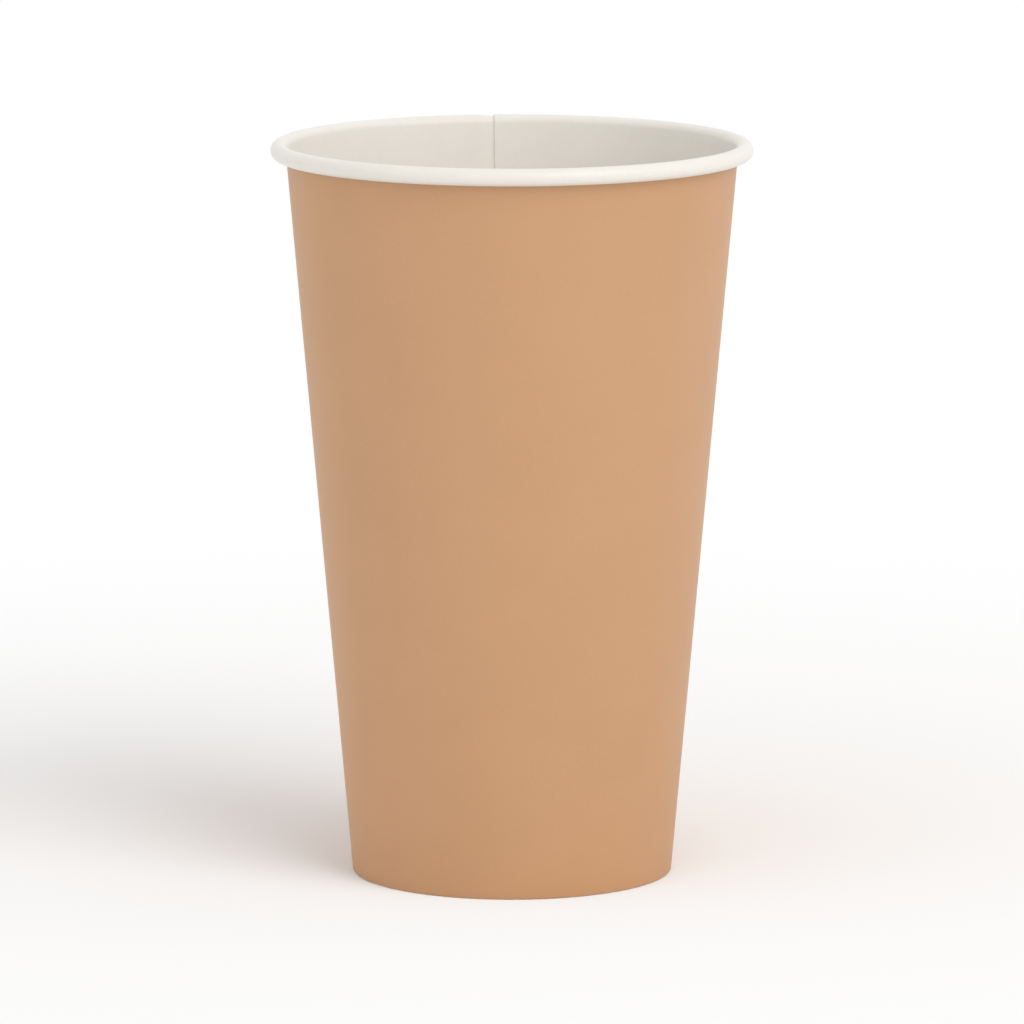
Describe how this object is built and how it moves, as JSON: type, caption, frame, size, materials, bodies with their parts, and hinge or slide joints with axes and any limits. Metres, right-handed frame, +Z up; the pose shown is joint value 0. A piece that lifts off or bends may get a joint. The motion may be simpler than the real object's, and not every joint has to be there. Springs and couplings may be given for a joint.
{
  "type": "paper cup",
  "caption": "Tall single-wall paper drinking cup with a rolled rim, a lapped side seam and a base disc set up inside a folded foot.",
  "frame": {"origin": "on the table at the cup's own axis", "axes": "+Z up along the cup's axis, +Y towards the side seam, -Y towards the front"},
  "size_m": [0.09, 0.09, 0.138],
  "materials": {
    "tan_printed_board": "paper board printed an even tan outside, white coated inside and on the rolled rim",
    "white_coated_board": "white paper board, thinly coated on the side that the drink touches"
  },
  "bodies": {
    "root": {"side_wall": "tan_printed_board", "base_disc": "white_coated_board"}
  },
  "joints": []
}
